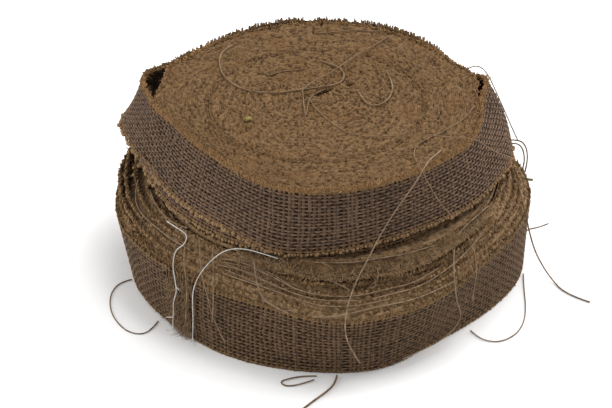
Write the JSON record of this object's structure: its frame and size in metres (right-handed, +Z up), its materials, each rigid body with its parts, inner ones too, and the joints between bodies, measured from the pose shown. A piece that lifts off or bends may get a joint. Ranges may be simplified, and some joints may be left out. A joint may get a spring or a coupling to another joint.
{
  "type": "ribbon roll",
  "caption": "Two coreless rolls of natural jute hessian gift ribbon, one standing on the other, with loose frayed threads.",
  "frame": {"origin": "on the floor below the middle of the lower roll's outer box", "axes": "+Z up along the winding axis, -Y towards the viewer's side where the loose threads hang"},
  "size_m": [0.2491, 0.2432, 0.1011],
  "materials": {
    "lower_ribbon": "coarse open weave, matte",
    "upper_ribbon": "coarse open weave, matte",
    "jute_thread": "fuzzy natural fibre",
    "cotton_thread": "soft matte",
    "dry_leaf": "matte"
  },
  "bodies": {
    "lower_roll": {"lower_outer_turn": "lower_ribbon", "lower_loose_turn_1": "lower_ribbon", "lower_loose_turn_2": "lower_ribbon", "lower_loose_turn_3": "lower_ribbon", "lower_loose_turn_4": "lower_ribbon", "lower_loose_turn_5": "lower_ribbon", "right_floor_strand": "jute_thread", "right_floor_loop": "jute_thread", "front_floor_loop": "jute_thread", "front_floor_strand": "jute_thread", "left_hanging_strand_1": "jute_thread", "left_hanging_strand_2": "jute_thread", "right_hanging_strand_1": "jute_thread", "right_hanging_strand_2": "jute_thread", "gap_wavy_strand": "jute_thread", "gap_front_strand": "jute_thread", "gap_drop_strand": "jute_thread", "ledge_strand": "jute_thread", "bundle_strand_1": "jute_thread", "bundle_strand_2": "jute_thread", "bundle_strand_3": "jute_thread", "bundle_strand_4": "jute_thread", "left_gap_strand": "jute_thread", "left_ledge_strand": "jute_thread", "left_floor_loop": "jute_thread"},
    "lower_end": {"lower_tail": "lower_ribbon", "white_end_thread_1": "cotton_thread", "white_end_thread_2": "cotton_thread", "tail_frayed_weft": "jute_thread"},
    "lower_pack": {"lower_windings": "lower_ribbon"},
    "upper_pack": {"upper_outer_windings": "upper_ribbon", "rim_back_strand": "jute_thread"},
    "upper_core": {"upper_core_windings": "upper_ribbon", "leaf_scrap": "dry_leaf", "top_long_curl": "jute_thread", "top_straight_strand": "jute_thread", "top_cross_strand": "jute_thread", "top_right_curl": "jute_thread"},
    "upper_turn": {"upper_outer_turn": "upper_ribbon", "band_right_strand": "jute_thread", "rim_front_strand": "jute_thread", "long_front_strand": "jute_thread", "right_back_loop": "jute_thread"}
  },
  "joints": [
    {"name": "lower_end_peel", "type": "hinge", "parent": "lower_roll", "child": "lower_end", "pos_m": [-0.10049, -0.02902, 0.02], "axis": [0, 0, -1], "range_deg": [0, 60]},
    {"name": "lower_pack_slide", "type": "slide", "parent": "lower_roll", "child": "lower_pack", "axis": [0, 0, 1], "range_m": [0, 0.012]},
    {"name": "upper_roll_lift", "type": "slide", "parent": "lower_pack", "child": "upper_pack", "axis": [0, 0, 1], "range_m": [0, 0.06]},
    {"name": "upper_core_slide", "type": "slide", "parent": "upper_pack", "child": "upper_core", "axis": [0, 0, 1], "range_m": [0, 0.015]},
    {"name": "upper_turn_slide", "type": "slide", "parent": "upper_pack", "child": "upper_turn", "axis": [0, 0, 1], "range_m": [0, 0.02]}
  ]
}
